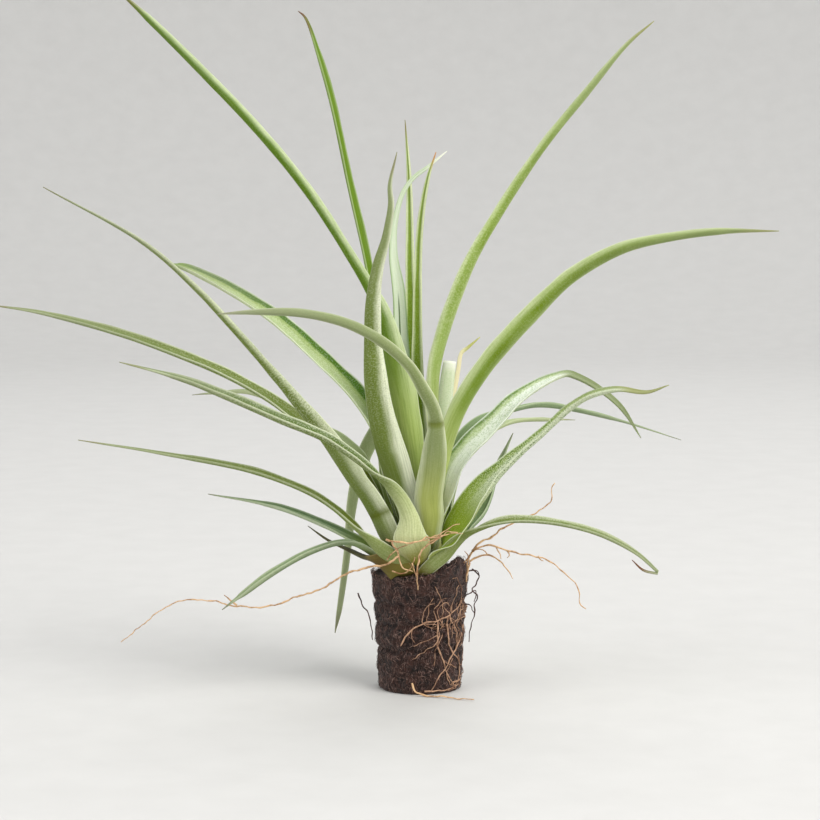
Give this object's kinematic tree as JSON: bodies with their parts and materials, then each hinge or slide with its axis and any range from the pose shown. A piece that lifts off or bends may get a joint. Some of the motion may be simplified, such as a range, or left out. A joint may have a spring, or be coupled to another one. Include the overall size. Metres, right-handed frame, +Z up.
{
  "type": "air plant",
  "caption": "Small air plant with long channelled leaves and free roots, standing in a dark fibre plug",
  "frame": {"origin": "middle of the plug's flat foot", "axes": "+Z up along the plug's axis, -Y towards the side that the picture shows, +X to that view's right"},
  "size_m": [0.1556, 0.0766, 0.1415],
  "materials": {
    "plug_fibre": "matte",
    "stem": "matte",
    "leaf": "satin",
    "dry_leaf": "matte",
    "root": "matte",
    "dark_root": "matte"
  },
  "bodies": {
    "root": {"plug": "plug_fibre", "stem": "stem", "leaf_low_right": "leaf", "leaf_down_left": "leaf", "leaf_lower_left": "leaf", "leaf_dry_left": "dry_leaf", "leaf_blue_left": "leaf", "leaf_drooping": "leaf", "leaf_small_right": "leaf", "leaf_low_front_left": "leaf", "leaf_front_right": "leaf", "leaf_far_right": "leaf", "leaf_back_right": "leaf", "leaf_big_left": "leaf", "leaf_arching": "leaf", "leaf_silver": "leaf", "leaf_hidden_left": "leaf", "leaf_long_left": "leaf", "leaf_front": "leaf", "leaf_upper_right": "leaf", "leaf_back_left": "leaf", "leaf_cut_stub": "dry_leaf", "leaf_dry_strip": "dry_leaf", "leaf_tall_right": "leaf", "leaf_tall_left": "leaf", "leaf_upper_left": "leaf", "leaf_centre_c": "leaf", "leaf_centre_a": "leaf", "leaf_centre_b": "leaf", "roots_front": "root", "roots_right": "root", "roots_plug_loops": "dark_root", "roots_plug_left": "dark_root", "roots_plug_net": "root", "roots_foot": "root"}
  },
  "joints": []
}
